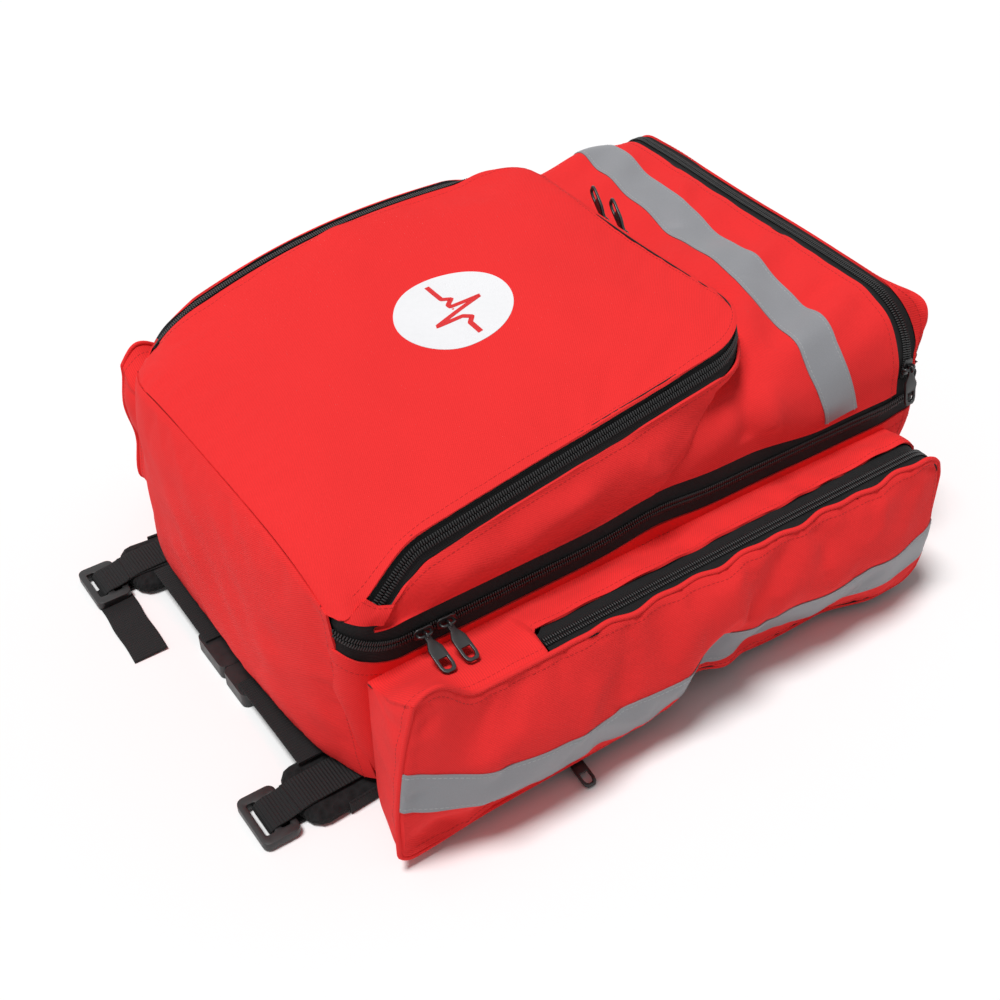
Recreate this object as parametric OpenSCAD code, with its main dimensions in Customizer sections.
// Trauma backpack lying on its back: X across the bag, Y from base to top, Z up from the ground to the front.

/* [Main compartment] */
// Width of the bag body without its side pockets
body_w = 306; // [280:1:340]
// Height of the bag body from base to top
body_h = 450; // [430:1:500]
// Depth of the main compartment from its back to its zip
main_depth = 114; // [104:1:140]
// Radius of the body's upright corners
body_r = 16; // [15:1:22]
// Radius of the soft edges round the back
back_edge_r = 14; // [8:1:14]
// Thickness of the padded fabric walls
wall = 3; // [2.5:0.5:4]
// Bulge of the base panel
base_crown = 6; // [3:1:8]

/* [Front pocket] */
// Length of the front pocket up from the base
pocket_h = 320; // [290:1:340]
// Height of the pocket's zip above the main zip at the base
pocket_low = 42; // [34:1:48]
// Height of the pocket's zip above the main zip at the pocket's top
pocket_high = 96; // [80:1:100]
// How far the pocket's zip stands in from the body's sides
pocket_inset = 12; // [6:1:20]
// Corner radius at the pocket's top
pocket_r = 36; // [20:1:50]
// Bulge of the front pocket flap
flap_crown = 13; // [6:1:20]
// Radius of the round print on the flap
badge_r = 39; // [20:1:50]
// Height of the print's centre above the base
badge_y = 176; // [140:1:200]

/* [Top pocket] */
// Depth of the top pocket in front of the main zip
top_depth = 72; // [66:1:80]
// Shoulder radius of the top pocket
top_r = 44; // [30:1:44]
// Bulge of the top pocket flap
top_crown = 5; // [3:1:8]
// Distance of the top pocket's zip below the body's top
top_zip_drop = 5; // [3:1:8]
// Width of the front reflective band
front_band_w = 30; // [20:1:40]
// Distance of the front band's middle below the body's top
front_band_drop = 64; // [36:1:80]

/* [Side pockets] */
// Depth of a side pocket from the bag to its zip
side_depth = 42; // [34:1:60]
// Bulge of a side pocket's face
side_crown = 12; // [6:1:18]
// Gap between the base and the side pocket's lower end
side_from = 6; // [2:1:20]
// Gap between the body's top and the side pocket's upper end
side_to = 12; // [6:1:30]
// Drop of the side pocket's front edge below the main zip
side_drop = 12; // [11:1:20]
// Height of the side pocket's underside above the ground
side_low = 14; // [13:1:20]
// Corner radius of a side pocket
side_r = 18; // [10:1:26]
// Length of the lower end of the face that stays closed
side_fixed = 99; // [60:1:140]
// Width of a side reflective band
side_band_w = 32; // [20:1:40]
// Height of the side band's middle above the pocket's underside
side_band_rise = 37; // [30:1:60]

/* [Zips] */
// Width of tape that shows beside a coil
tape_show = 7; // [6:0.5:8]
// Width of tape sewn under the fabric
tape_hem = 6; // [4:0.5:7]
// Thickness of the zip tape
tape_t = 1.2; // [0.8:0.1:1.4]
// Width of one half of a coil
coil_w = 3; // [2:0.5:3.5]
// Height of a coil above its tape
coil_t = 2.8; // [1.8:0.1:2.8]
// Gap between the two halves of a closed coil
zip_gap = 0.4; // [0.3:0.1:0.6]
// Length of a zip slider
slider_l = 13; // [10:0.5:14]
// Width of a zip slider
slider_w = 8.6; // [7:0.2:9]
// Thickness of a slider's plates
slider_t = 1.5; // [1:0.1:2]
// Length of a zip pull from its bar
pull_l = 28; // [20:1:30]
// Width of a zip pull at its end
pull_w = 10; // [6:0.5:11]
// Thickness of a zip pull
pull_t = 1.8; // [1.2:0.1:2.2]
// Radius of the bar that a pull hangs on
bar_r = 1; // [0.8:0.1:1.2]

/* [Back and straps] */
// Thickness of the back panel's backing
back_t = 3.7; // [3:0.1:5]
// Width of a shoulder strap at its root
strap_w = 60; // [50:1:64]
// Width of a shoulder strap at its lower end
strap_end_w = 52; // [44:1:56]
// Thickness of a shoulder strap
strap_t = 12; // [10:0.5:14]
// How far the strap ends reach out below the base
strap_reach = 66; // [60:1:80]
// Width of the strap webbing
webbing_w = 25; // [20:1:28]
// Thickness of all webbing
webbing_t = 1.8; // [1.4:0.1:2.2]
// Width of the waist strap
waist_w = 30; // [25:1:34]
// Thickness of the waist buckle
buckle_t = 11; // [9:0.5:12]
// Reach of the haul handle past the body's top
handle_reach = 42; // [34:1:50]
// Width of the haul handle
handle_w = 116; // [100:1:130]

/* [Inside] */
// Thickness of the plastic frame sheet in the back
frame_sheet_t = 1.6; // [1:0.1:2.5]
// Thickness of the board in the base
base_board_t = 2.4; // [1.5:0.1:4]
// Thickness of the padded dividers
divider_t = 8; // [4:1:12]
// Clearance between the dividers and the main zip's tape
divider_clear = 4; // [2:1:10]

/* [Hidden] */
// Every piece's name

// Colours
red = [0.86, 0.13, 0.13];
black = [0.09, 0.09, 0.1];
zip_black = [0.05, 0.05, 0.05];
grey = [0.58, 0.58, 0.6];
white = [0.95, 0.95, 0.95];

// Shared clearances and steps
clear = 0.3;
skin = 0.02;
small_r = 0.5;
far = 1000;
corner_steps = 6;
crown_steps = [0.05, 0.14, 0.3, 0.52, 0.78, 1];
gusset_steps = [0.45, 0.85];
cap_edge = wall + small_r;

// Half the width of the flat at the middle of a bulged cap
cap_flat = 4;

// Strip of the lid between the main zip and the top pocket's flap
sill_h = 8;

// The base panel stops a little short of the bag's sides and of the front flap's seam
base_inset = 2;

// Levels above the ground
back_z = strap_t + clear + back_t;
zip_z = back_z + main_depth;
zip_half = tape_show + coil_w;
rim_z = zip_z - zip_half;
lid_z = zip_z + zip_half;
top_z = zip_z + top_depth;
sill_z = lid_z + sill_h;
base_top_z = zip_z + pocket_low - base_inset;

// The part's middle lies at Y = 0
mid_y = (body_h + handle_reach - strap_reach) / 2;

// Front pocket: its zip lies in a plane that rises from base to top
lid_gap = 2;
pocket_w = body_w - 2 * pocket_inset;
pocket_tilt = atan((pocket_high - pocket_low) / pocket_h);
pocket_l = (pocket_h - zip_half * sin(pocket_tilt)) / cos(pocket_tilt);

// Top pocket
top_zip_y = body_h - top_zip_drop;

// Side pockets
side_high = zip_z - side_drop;
side_end = body_h - side_to;
side_hinge = side_from + side_fixed;
side_cap_z = side_depth + zip_half;

// Sliders and pulls, measured from the surface of the fabric
plate_clear = 0.8;
plate_gap = wall + tape_t + plate_clear;
inner_plate_l = 9;
slider_chamfer = 1;
post = 1.6;
bar_l = 7;
eye_r = 3;
eye_w = 2.4;
bar_clear = 0.25;
bar_z = clear + slider_t + eye_r + clear;
front_pull_lean = 30;
front_pull_swing = 15;
main_pull_droop = 15;
top_pull_swing = 10;
side_pull_swing = asin((side_low - bar_z - pull_t) / pull_l);
main_slider_y = 50;
slider_pitch = slider_l + 3;
front_slider_x = -8;
front_slider_pitch = 22;
side_slider_y = side_hinge + 23;

// Straps
strap_root = [body_w / 2 - 95, body_h - 45];
strap_end = [body_w / 2 - 25, 28 - strap_reach];
strap_pull_a = [body_w / 2 - 91, 0.56 * body_h];
strap_pull_b = [body_w / 2 - 33, 0.34 * body_h];
strap_stations = 14;
strap_edge = 3;
lock_l = 26;
lock_w = 42;
lock_slot_w = webbing_w + 2;
lock_low = 2;
lock_t = 6;
lock_bar = 4.5;
lock_y = -strap_reach + lock_l / 2;
strap_tail_l = 82;
tab_l = 20;
tab_y = back_edge_r + tab_l;
pad_gap = 4;
waist_tab_w = 24;
waist_x = strap_end[0] - webbing_w / 2 - 6;
buckle_l = 40;
buckle_split = 4;
buckle_rim = 2;
buckle_r = 5;
buckle_z = strap_t - buckle_t;
prong_l = 18;
prong_w = 5;
prong_pitch = 10;
prong_in = 3;
prong_clear = 0.4;
prong_root = 1;
waist_from = 0.6 * buckle_l;
waist_y = -6;

// Haul handle
handle_t = 4;
handle_grip = webbing_w;
handle_slot_r = 6;

// Outlines: left, right, low, high, radius low, radius high
main_o = [-body_w / 2, body_w / 2, 0, body_h, body_r, body_r];
gusset_o = [-body_w / 2, body_w / 2, lid_gap, pocket_h, body_r, small_r];
pocket_o = [-pocket_w / 2, pocket_w / 2, lid_gap, pocket_l, body_r / 2, pocket_r];
pocket_square_o = [-pocket_w / 2, pocket_w / 2, lid_gap, pocket_l, body_r / 2, body_r / 2];
base_w = body_w - 2 * base_inset;
base_o = [-base_w / 2, base_w / 2, back_z + base_inset, base_top_z, back_edge_r, body_r / 2];
arch_o = [-body_w / 2, body_w / 2, lid_z, top_z, small_r, top_r];
arch_hollow_o = [-body_w / 2 + wall, body_w / 2 - wall, lid_z - wall, top_z - wall, small_r, top_r - wall];
top_flap_o = [-body_w / 2, body_w / 2, sill_z + clear, top_z, small_r, top_r];
side_o = [side_from, side_end, side_low, side_high, side_r, side_r];

// A quarter circle of points
function arc(x, y, r, start) =
  [for (i = [0 : corner_steps]) let (t = start + 90 * i / corner_steps) [x + r * cos(t), y + r * sin(t)]];

// A rounded rectangle, drawn in from its outline by an inset
function rounded(o, inset) =
  let (
    x0 = o[0] + inset,
    x1 = o[1] - inset,
    y0 = o[2] + inset,
    y1 = o[3] - inset,
    low = max(o[4] - inset, small_r),
    high = max(o[5] - inset, small_r)
  )
  concat(
    arc(x1 - low, y0 + low, low, -90),
    arc(x1 - high, y1 - high, high, 0),
    arc(x0 + high, y1 - high, high, 90),
    arc(x0 + low, y0 + low, low, 180)
  );

function ring(o, inset, z) = [for (p = rounded(o, inset)) [p[0], p[1], z]];

function mix(a, b, share) = [for (i = [0 : len(a) - 1]) a[i] + (b[i] - a[i]) * share];

function backwards(list) = [for (i = [len(list) - 1 : -1 : 0]) list[i]];

// Space inside an outline from its edge to its middle line
function reach_of(o) = min(o[1] - o[0], o[3] - o[2]) / 2 - cap_flat;

// Rings of a bulged cap, grown outwards by a little where a skin lies on it
function cap_rings(o, edge, crown, grow) =
  concat(
    [ring(o, -grow, 0), ring(o, -grow, edge)],
    [
      for (s = crown_steps)
        ring(o, reach_of(o) * s - grow * (1 - s), edge + crown * (1 - pow(1 - s, 3)) + grow)
    ]
  );

// Rings of the hollow under a cap
function hollow_rings(o, edge, crown) =
  concat(
    [ring(o, wall, 0)],
    [
      for (s = crown_steps)
        ring(o, wall + (reach_of(o) - wall) * s, edge + crown * (1 - pow(1 - s, 3)) - wall)
    ]
  );

// A solid through a list of rings, closed at its two ends, or a tube whose last ring meets its first
module loft(rings, tube = false) {
  n = len(rings[0]);
  count = len(rings);
  last = (count - 1) * n;
  sides = [
    for (i = [0 : count - (tube ? 1 : 2)], j = [0 : n - 1])
      let (a = i * n + j, b = i * n + (j + 1) % n, up = (i + 1) % count * n - i * n)
        each [[a, a + up, b + up], [a, b + up, b]]
  ];
  ends = [[for (j = [0 : n - 1]) j], [for (j = [n - 1 : -1 : 0]) last + j]];
  polyhedron([for (r = rings) each r], concat(sides, tube ? [] : ends));
}

module cap_solid(o, edge, crown, grow = 0) {
  loft(cap_rings(o, edge, crown, grow));
}

// The shell runs from the middle of its crown down the outside and back up the inside
module cap_shell(o, edge, crown) {
  rings = concat(backwards(cap_rings(o, edge, crown, 0)), hollow_rings(o, edge, crown));
  loft([for (r = rings) backwards(r)]);
}

// A thin skin that lies on a cap
module cap_skin(o, edge, crown, t) {
  difference() {
    cap_solid(o, edge, crown, t);
    translate([0, 0, -t])
      cap_solid(o, edge + t, crown, skin);
  }
}

// A strip round an outline, kept only inside a rectangle
module band(o, inset, depth, low, high, keep) {
  translate([0, 0, low])
    linear_extrude(high - low)
      intersection() {
        difference() {
          polygon(rounded(o, inset));
          polygon(rounded(o, inset + depth));
        }
        translate(keep[0])
          square(keep[1] - keep[0]);
      }
}

// Half of a zip round an outline: its tape and its half of the coil, above the zip's plane.
// The hem is the part of the tape that lies under the fabric.
module zip_side(o, keep, hem) {
  color(zip_black) {
    band(o, wall, tape_t, zip_gap / 2, zip_half + hem, keep);
    band(o, wall - coil_t, coil_t, zip_gap / 2, coil_w, keep);
  }
}

module place() {
  translate([0, -mid_y, 0])
    children();
}

// The front pocket's tilted plane
module place_pocket() {
  place()
    translate([0, 0, zip_z + pocket_low])
      rotate([pocket_tilt, 0, 0])
        children();
}

// The top pocket's end: outline across and up, height along the bag
module place_top() {
  place()
    rotate([90, 0, 180])
      children();
}

// A side pocket: outline along and up, height out from the bag
module place_side(side) {
  place()
    mirror([side < 0 ? 1 : 0, 0, 0])
      translate([body_w / 2, 0, 0])
        rotate([90, 0, 90])
          children();
}

// Main compartment and base

function tub_edge(a, r, inset, z) = ring(main_o, inset + r * (1 - sin(a)), z + r * (1 - cos(a)));

module main_compartment() {
  outer = [for (a = [0 : 30 : 90]) tub_edge(a, back_edge_r, 0, back_z)];
  inner = [for (a = [90 : -30 : 0]) tub_edge(a, back_edge_r - wall, wall, back_z + wall)];
  color(red)
    place()
      loft(concat(outer, [ring(main_o, 0, rim_z), ring(main_o, wall, rim_z)], inner));
}

module base_panel() {
  color(red)
    place()
      rotate([90, 0, 0])
        cap_solid(base_o, small_r, wall + base_crown);
}

module base_board() {
  low = back_z + back_edge_r;
  color(black)
    place()
      translate([-body_w / 2 + body_r, wall, low])
        cube([body_w - 2 * body_r, base_board_t, rim_z - tape_hem - low]);
}

module frame_sheet() {
  color(black)
    place()
      translate([-body_w / 2 + back_edge_r + wall, back_edge_r + wall, back_z + wall])
        cube([body_w - 2 * (back_edge_r + wall), body_h - 2 * (back_edge_r + wall), frame_sheet_t]);
}

module divider(y) {
  low = back_z + wall + frame_sheet_t;
  inset = wall + tape_t + clear;
  color(black)
    place()
      difference() {
        translate([-body_w / 2 + inset, y - divider_t / 2, low])
          cube([body_w - 2 * inset, divider_t, rim_z - divider_clear - low]);
        for (side = [-1, 1])
          translate([side * (body_w / 2), y, back_z])
            rotate([0, 45, 0])
              cube([2 * back_edge_r, 2 * divider_t, 2 * back_edge_r], center = true);
      }
}

module divider_lower() divider(body_h / 3);

module divider_upper() divider(2 * body_h / 3);

// Main zip

main_keep = [[-far, body_r], [far, far]];

module main_zip_body() {
  place()
    translate([0, 0, zip_z])
      mirror([0, 0, 1])
        zip_side(main_o, main_keep, tape_hem);
}

module main_zip_lid() {
  place()
    translate([0, 0, zip_z])
      zip_side(main_o, main_keep, 0);
}

// Lid of the main compartment

function tilted(points, h) = [
  for (p = points)
    [
      p[0],
      p[1] * cos(pocket_tilt) - h * sin(pocket_tilt),
      zip_z + pocket_low + p[1] * sin(pocket_tilt) + h * cos(pocket_tilt)
    ]
];

function gusset_rings(inset) =
  let (
    bottom = ring(gusset_o, inset, lid_z),
    square_top = tilted(rounded(pocket_square_o, inset), -zip_half),
    top = tilted(rounded(pocket_o, inset), -zip_half)
  )
  concat([bottom], [for (s = gusset_steps) mix(bottom, square_top, s)], [top]);

module front_pocket_gusset() {
  color(red)
    place()
      loft(concat(gusset_rings(0), backwards(gusset_rings(wall))), tube = true);
}

module top_pocket_shell() {
  shell_end = top_zip_y - zip_half;
  color(red) {
    place_top()
      translate([0, 0, pocket_h])
        linear_extrude(shell_end - pocket_h)
          difference() {
            polygon(rounded(arch_o, 0));
            polygon(rounded(arch_hollow_o, 0));
          }
    place()
      band(main_o, 0, wall, lid_z, sill_z, [[-far, shell_end - wall], [far, far]]);
  }
}

module lid_lining() {
  inset = wall + tape_t;
  color(black)
    place()
      translate([0, 0, lid_z - webbing_t])
        linear_extrude(webbing_t - skin)
          polygon(rounded(main_o, inset));
}

module lid_mesh_pocket() {
  color(zip_black)
    place()
      translate([-pocket_w / 2 + pocket_r, 2 * pocket_r, lid_z - 2 * webbing_t])
        cube([pocket_w - 2 * pocket_r, pocket_h - 4 * pocket_r, webbing_t - skin]);
}

module front_band() {
  color(grey)
    place_top()
      translate([0, 0, body_h - front_band_drop - front_band_w / 2])
        linear_extrude(front_band_w)
          intersection() {
            difference() {
              polygon(rounded(arch_o, -1));
              polygon(rounded(arch_o, -skin));
            }
            translate([-far, lid_z])
              square(2 * far);
          }
}

// Front pocket

front_keep = [[-far, 2 * body_r], [far, far]];

module front_zip_lid() {
  place_pocket()
    mirror([0, 0, 1])
      zip_side(pocket_o, front_keep, 0);
}

module front_zip_flap() {
  place_pocket()
    zip_side(pocket_o, front_keep, 0);
}

module front_pocket_flap() {
  skirt_w = pocket_w - body_r;
  color(red)
    place_pocket() {
      translate([0, 0, zip_half])
        cap_shell(pocket_o, cap_edge, flap_crown);
      translate([-skirt_w / 2, lid_gap + small_r, 0])
        cube([skirt_w, wall - 2 * small_r, zip_half + 2 * small_r]);
    }
}

module front_badge() {
  color(white)
    place_pocket()
      intersection() {
        translate([0, 0, zip_half])
          cap_skin(pocket_o, cap_edge, flap_crown, small_r);
        translate([0, badge_y, 0])
          cylinder(r = badge_r, h = far, $fn = 64);
      }
}

// Top pocket

top_keep = [[-far, sill_z + clear], [far, far]];

module top_zip_lid() {
  place_top()
    translate([0, 0, top_zip_y])
      mirror([0, 0, 1])
        zip_side(arch_o, top_keep, tape_hem);
}

module top_zip_flap() {
  place_top()
    translate([0, 0, top_zip_y])
      zip_side(arch_o, top_keep, 0);
}

module top_pocket_flap() {
  color(red)
    place_top()
      translate([0, 0, top_zip_y + zip_half])
        cap_shell(top_flap_o, cap_edge, top_crown);
}

// Side pockets

side_keep = [[side_hinge + coil_w, -far], [far, far]];

// The part of a side pocket's face below or above its hinge line
module side_part(above) {
  intersection() {
    children();
    translate([above ? side_hinge + clear : -far, -far, -far])
      cube([above ? 2 * far : far + side_hinge, 2 * far, 2 * far]);
  }
}

module side_pocket(side) {
  color(red)
    place_side(side) {
      band(side_o, 0, wall, 0, side_depth - zip_half, [[-far, -far], [far, far]]);
      side_part(false)
        translate([0, 0, side_depth - zip_half])
          cap_shell(side_o, 2 * zip_half + cap_edge, side_crown);
    }
}

module side_flap(side) {
  color(red)
    place_side(side)
      side_part(true)
        translate([0, 0, side_cap_z])
          cap_shell(side_o, cap_edge, side_crown);
}

module side_band(side, above) {
  color(grey)
    place_side(side)
      side_part(above)
        intersection() {
          translate([0, 0, side_cap_z])
            cap_skin(side_o, cap_edge, side_crown, small_r);
          translate([-far, side_low + side_band_rise - side_band_w / 2, side_cap_z + cap_edge])
            cube([2 * far, side_band_w, far]);
        }
}

module side_zip_body(side) {
  place_side(side)
    translate([0, 0, side_depth])
      mirror([0, 0, 1])
        zip_side(side_o, side_keep, tape_hem);
}

module side_zip_flap(side) {
  place_side(side)
    translate([0, 0, side_depth])
      zip_side(side_o, side_keep, 0);
}

module side_pocket_right() side_pocket(1);

module side_pocket_left() side_pocket(-1);

module side_flap_right() side_flap(1);

module side_flap_left() side_flap(-1);

module side_band_right() side_band(1, true);

module side_band_left() side_band(-1, true);

module side_band_end_right() side_band(1, false);

module side_band_end_left() side_band(-1, false);

module side_zip_body_right() side_zip_body(1);

module side_zip_body_left() side_zip_body(-1);

module side_zip_flap_right() side_zip_flap(1);

module side_zip_flap_left() side_zip_flap(-1);

// Zip sliders and pulls: X along the zip, Z out of the fabric

module slider_plan(l) {
  nose = slider_w / 4;
  tail = l / 2 - slider_chamfer;
  polygon([
    [-l / 2, -nose], [-l / 4, -slider_w / 2], [tail, -slider_w / 2], [l / 2, slider_chamfer - slider_w / 2],
    [l / 2, slider_w / 2 - slider_chamfer], [tail, slider_w / 2], [-l / 4, slider_w / 2], [-l / 2, nose]
  ]);
}

module slider(turn) {
  color(zip_black) {
    translate([0, 0, clear])
      linear_extrude(slider_t)
        slider_plan(slider_l);
    translate([0, 0, -plate_gap - slider_t])
      linear_extrude(slider_t)
        slider_plan(inner_plate_l);
    rotate([0, 0, turn]) {
      for (end = [-1, 1])
        translate([end * (bar_l - post) / 2 - post / 2, -post, clear + slider_t])
          cube([post, 2 * post, bar_z + bar_r - clear - slider_t]);
      translate([-bar_l / 2, 0, bar_z])
        rotate([0, 90, 0])
          cylinder(r = bar_r, h = bar_l, $fn = 32);
    }
  }
}

module pull_plan() {
  root = eye_w / 2;
  end = pull_w / 2;
  difference() {
    union() {
      polygon([
        [-root, 0], [root, 0], [root, eye_r], [end, pull_l - end], [-end, pull_l - end], [-root, eye_r]
      ]);
      translate([0, pull_l - end])
        circle(r = end, $fn = 40);
    }
    translate([0, pull_l - end])
      circle(r = end - pull_t, $fn = 40);
  }
}

// A pull turned about the slider's face and swung out on its bar
module pull(turn, swing) {
  color(zip_black)
    rotate([0, 0, turn])
      translate([0, 0, bar_z])
        rotate([swing, 0, 0])
          difference() {
            union() {
              rotate([0, 90, 0])
                cylinder(r = eye_r, h = eye_w, center = true, $fn = 32);
              translate([0, 0, -pull_t / 2])
                linear_extrude(pull_t)
                  pull_plan();
            }
            rotate([0, 90, 0])
              cylinder(r = bar_r + bar_clear, h = pull_w, center = true, $fn = 32);
          }
}

module at_main(y) {
  place()
    translate([body_w / 2, y, zip_z])
      rotate([90, 0, 90])
        children();
}

module at_front(x) {
  place_pocket()
    translate([x, pocket_l, 0])
      rotate([90, 0, 180])
        children();
}

module at_top() {
  place()
    translate([body_w / 2, top_zip_y, top_z - top_r])
      rotate([0, 90, 0])
        children();
}

module at_side(side) {
  place()
    mirror([side < 0 ? 1 : 0, 0, 0])
      translate([body_w / 2 + side_depth, side_slider_y, side_low])
        rotate([180, 0, 90])
          children();
}

module main_slider_lower() at_main(main_slider_y) slider(0);

module main_slider_upper() at_main(main_slider_y + slider_pitch) slider(0);

module main_pull_lower() at_main(main_slider_y) pull(0, 90 + main_pull_droop);

module main_pull_upper() at_main(main_slider_y + slider_pitch) pull(0, 90 + main_pull_droop);

module front_slider_right() at_front(front_slider_x) slider(front_pull_lean - 90);

module front_slider_left() at_front(front_slider_x - front_slider_pitch) slider(front_pull_lean - 90);

module front_pull_right() at_front(front_slider_x) pull(front_pull_lean - 90, front_pull_swing);

module front_pull_left()
  at_front(front_slider_x - front_slider_pitch) pull(front_pull_lean - 90, front_pull_swing);

module top_slider() at_top() slider(-90);

module top_pull() at_top() pull(-90, top_pull_swing);

module side_slider_right() at_side(1) slider(0);

module side_slider_left() at_side(-1) slider(0);

module side_pull_right() at_side(1) pull(0, side_pull_swing);

module side_pull_left() at_side(-1) pull(0, side_pull_swing);

// Back panel, straps and handle

// Lower and upper right corners of the back's middle pad, which leaves the straps room
pad_low = [body_w / 2 - 109, 60];
pad_high = [body_w / 2 - 137, body_h - 70];

module back_panel() {
  side = body_w / 2 - back_edge_r - wall;
  color(black)
    place() {
      translate([-side, tab_y + pad_gap, strap_t + clear])
        cube([2 * side, body_h - back_edge_r - wall - tab_y - pad_gap, back_t]);
      linear_extrude(strap_t + clear)
        polygon([
          [-pad_low[0], pad_low[1]], [pad_low[0], pad_low[1]], [pad_high[0], pad_high[1]],
          [-pad_high[0], pad_high[1]]
        ]);
    }
}

function bezier(t) =
  pow(1 - t, 3) * strap_root + 3 * t * pow(1 - t, 2) * strap_pull_a
  + 3 * t * t * (1 - t) * strap_pull_b + pow(t, 3) * strap_end;

function bezier_way(t) =
  3 * pow(1 - t, 2) * (strap_pull_a - strap_root) + 6 * t * (1 - t) * (strap_pull_b - strap_pull_a)
  + 3 * t * t * (strap_end - strap_pull_b);

// Cross-section of a strap: [across, up] with softened edges
function strap_section(w) = [
  [w / 2 - strap_edge, 0], [w / 2, strap_edge], [w / 2, strap_t - strap_edge], [w / 2 - strap_edge, strap_t],
  [strap_edge - w / 2, strap_t], [-w / 2, strap_t - strap_edge], [-w / 2, strap_edge], [strap_edge - w / 2, 0]
];

function strap_ring(t) =
  let (
    p = bezier(t),
    way = bezier_way(t) / norm(bezier_way(t)),
    across = [-way[1], way[0]]
  )
  [
    for (q = strap_section(strap_w + (strap_end_w - strap_w) * t))
      [p[0] + across[0] * q[0], p[1] + across[1] * q[0], q[1]]
  ];

module shoulder_strap(side) {
  tongue_l = strap_end[1] - lock_y - lock_l / 2;
  color(black)
    place()
      mirror([side < 0 ? 1 : 0, 0, 0]) {
        loft([for (i = [0 : strap_stations]) strap_ring(i / strap_stations)]);
        translate([strap_end[0] - webbing_w / 2, strap_end[1] - tongue_l + clear, strap_edge])
          cube([webbing_w, tongue_l + strap_edge, strap_t - 2 * strap_edge]);
      }
}

module ladder_lock(side) {
  slot_l = (lock_l - 3 * lock_bar) / 2;
  color(black)
    place()
      mirror([side < 0 ? 1 : 0, 0, 0])
        translate([strap_end[0], lock_y, lock_low])
          linear_extrude(lock_t)
            difference() {
              polygon(rounded([-lock_w / 2, lock_w / 2, -lock_l / 2, lock_l / 2, lock_bar, lock_bar], 0));
              for (end = [-1, 1])
                translate([0, end * (slot_l + lock_bar) / 2])
                  square([lock_slot_w, slot_l], center = true);
            }
}

// The adjuster runs over the ladder lock and the strap's end to a tab under the bag's corner
module strap_webbing(side) {
  lock_top = lock_low + lock_t + clear;
  low = strap_t + clear;
  start = lock_y - lock_bar / 2;
  ramp = lock_y + lock_bar / 2;
  top = strap_end[1] - clear;
  color(zip_black)
    place()
      mirror([side < 0 ? 1 : 0, 0, 0])
        translate([strap_end[0] + webbing_w / 2, 0, 0])
          rotate([90, 0, -90])
            linear_extrude(webbing_w)
              polygon([
                [-start, lock_top], [-ramp, lock_top], [-top, low], [-tab_y, low], [-tab_y, back_z],
                [-back_edge_r, back_z], [-back_edge_r / 2, low + webbing_t], [-top, low + webbing_t],
                [-ramp, lock_top + webbing_t], [-start, lock_top + webbing_t]
              ]);
}

module strap_tail_left() {
  color(zip_black)
    place()
      translate([-strap_end[0], lock_y - webbing_w / 2, 0])
        cube([strap_tail_l, webbing_w, webbing_t]);
}

module waist_strap(side) {
  low = strap_t + clear;
  color(zip_black)
    place()
      mirror([side < 0 ? 1 : 0, 0, 0]) {
        translate([waist_from, waist_y - waist_w / 2, low])
          cube([waist_x - waist_from, waist_w, webbing_t]);
        translate([waist_x - waist_tab_w, waist_y, low])
          cube([waist_tab_w, waist_w / 2, webbing_t]);
        translate([waist_x - waist_tab_w, back_edge_r, low])
          cube([waist_tab_w, tab_l, back_t]);
        translate([waist_x - waist_tab_w, 0, low])
          cube([waist_tab_w, tab_y - waist_w / 4, webbing_t]);
      }
}

// The buckle lies just under the waist strap
module buckle_half(low, high) {
  side = waist_w / 2 + buckle_rim;
  translate([0, waist_y, buckle_z])
    linear_extrude(buckle_t)
      polygon(rounded([low, high, -side, side, buckle_r, buckle_r], 0));
}

// The three prongs, grown by a clearance where they need room
module prongs(grow) {
  for (across = [-1, 0, 1])
    translate([
      buckle_split - prong_l - grow,
      waist_y + across * prong_pitch - prong_w / 2 - grow,
      buckle_z + prong_in - grow
    ])
      cube([prong_l + grow + prong_root, prong_w + 2 * grow, buckle_t - 2 * prong_in + 2 * grow]);
}

module buckle_female() {
  color(black)
    place()
      difference() {
        buckle_half(-buckle_l + buckle_split, buckle_split);
        prongs(prong_clear);
      }
}

module buckle_male() {
  color(black)
    place() {
      buckle_half(buckle_split + clear, buckle_l - buckle_split);
      prongs(0);
    }
}

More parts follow.
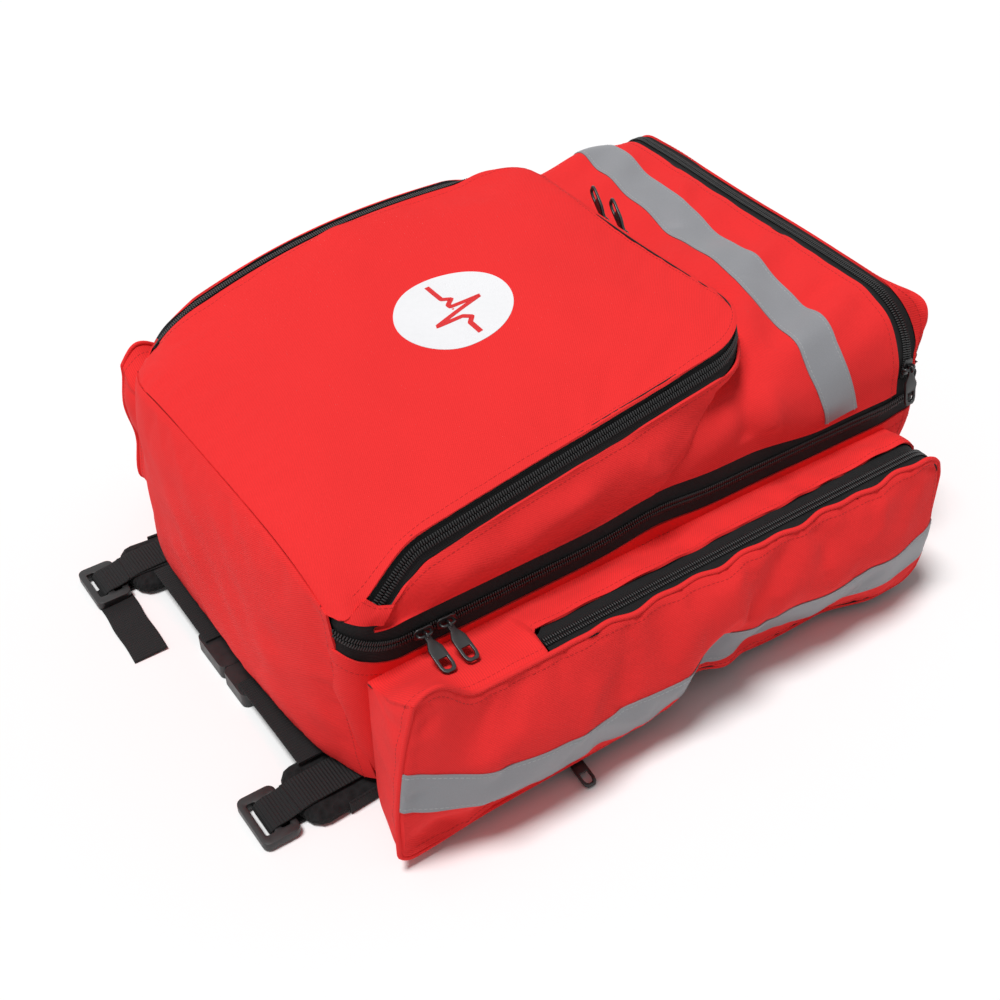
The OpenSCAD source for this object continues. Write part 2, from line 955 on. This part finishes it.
// The handle lifts about the round hem that is sewn to the bag's top
module haul_handle() {
  hem_r = handle_t / 2;
  axis_y = body_h + hem_r + clear;
  reach = handle_reach - hem_r - clear;
  slot = handle_w / 2 - handle_grip;
  color(black)
    place()
      translate([0, axis_y, back_z + back_edge_r]) {
        translate([0, 0, -hem_r])
          linear_extrude(handle_t)
            difference() {
              polygon(rounded([-handle_w / 2, handle_w / 2, 0, reach, small_r, handle_grip / 2], 0));
              polygon(rounded([-slot, slot, -hem_r, handle_reach - handle_grip, small_r, handle_slot_r], 0));
            }
        for (end = [-1, 1])
          translate([end * (handle_w - handle_grip) / 2 - handle_grip / 2, 0, 0])
            rotate([0, 90, 0])
              cylinder(r = hem_r, h = handle_grip, $fn = 32);
      }
}

module shoulder_strap_right() shoulder_strap(1);

module shoulder_strap_left() shoulder_strap(-1);

module ladder_lock_right() ladder_lock(1);

module ladder_lock_left() ladder_lock(-1);

module strap_webbing_right() strap_webbing(1);

module strap_webbing_left() strap_webbing(-1);

module waist_strap_right() waist_strap(1);

module waist_strap_left() waist_strap(-1);

// Drawing

main_compartment();
base_panel();
back_panel();
frame_sheet();
base_board();
divider_lower();
divider_upper();
main_zip_body();
main_zip_lid();
front_pocket_gusset();
top_pocket_shell();
lid_lining();
lid_mesh_pocket();
front_band();
front_zip_lid();
front_zip_flap();
front_pocket_flap();
front_badge();
top_zip_lid();
top_zip_flap();
top_pocket_flap();
side_pocket_right();
side_pocket_left();
side_zip_body_right();
side_zip_body_left();
side_zip_flap_right();
side_zip_flap_left();
side_flap_right();
side_flap_left();
side_band_right();
side_band_left();
side_band_end_right();
side_band_end_left();
main_slider_lower();
main_slider_upper();
front_slider_right();
front_slider_left();
top_slider();
side_slider_right();
side_slider_left();
main_pull_lower();
main_pull_upper();
front_pull_right();
front_pull_left();
top_pull();
side_pull_right();
side_pull_left();
haul_handle();
shoulder_strap_right();
shoulder_strap_left();
ladder_lock_right();
ladder_lock_left();
strap_webbing_right();
strap_webbing_left();
strap_tail_left();
waist_strap_right();
waist_strap_left();
buckle_female();
buckle_male();
